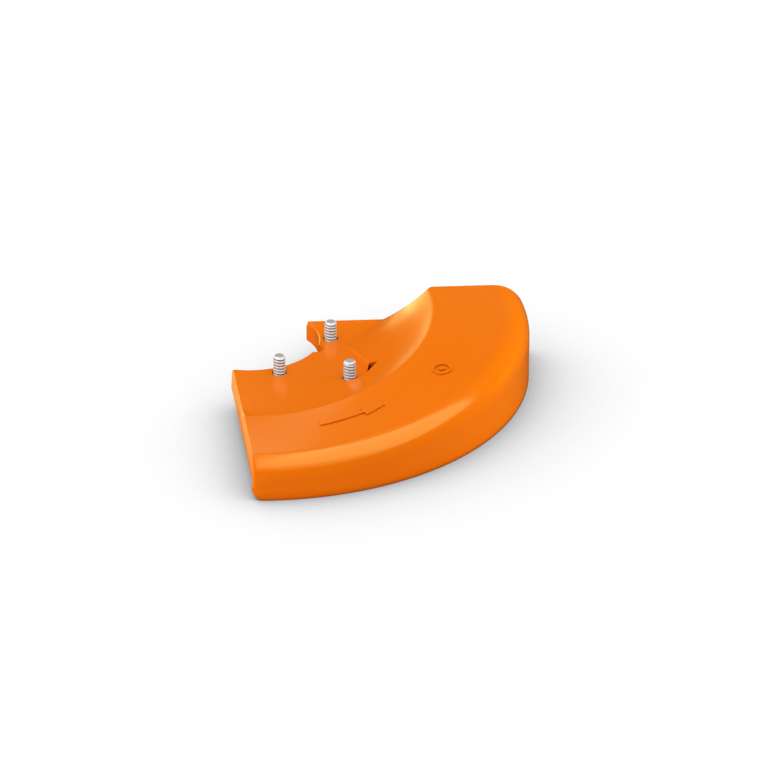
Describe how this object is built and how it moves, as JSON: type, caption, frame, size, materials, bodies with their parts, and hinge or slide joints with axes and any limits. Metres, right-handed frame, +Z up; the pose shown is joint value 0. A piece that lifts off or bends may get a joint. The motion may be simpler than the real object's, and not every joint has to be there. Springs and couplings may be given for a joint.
{
  "type": "trimmer blade guard",
  "caption": "Moulded quarter-ring guard with a ramp top and a stop wall for a brush cutter saw blade, with the screws that hold it under the gearbox flange.",
  "frame": {"origin": "under the middle of the box round the whole guard, on the surface that it stands on", "axes": "+Z up, away from the blade and towards the gearbox flange; +X and +Y along the two nearly straight end faces, so the outer wall runs round the side of -Y and +X"},
  "size_m": [0.1484, 0.1468, 0.037],
  "materials": {
    "guard": "satin, injection moulded",
    "screw": "zinc plated"
  },
  "bodies": {
    "root": {"guard_shell": "guard", "screw_left": "screw", "screw_front": "screw", "screw_rear": "screw"}
  },
  "joints": []
}
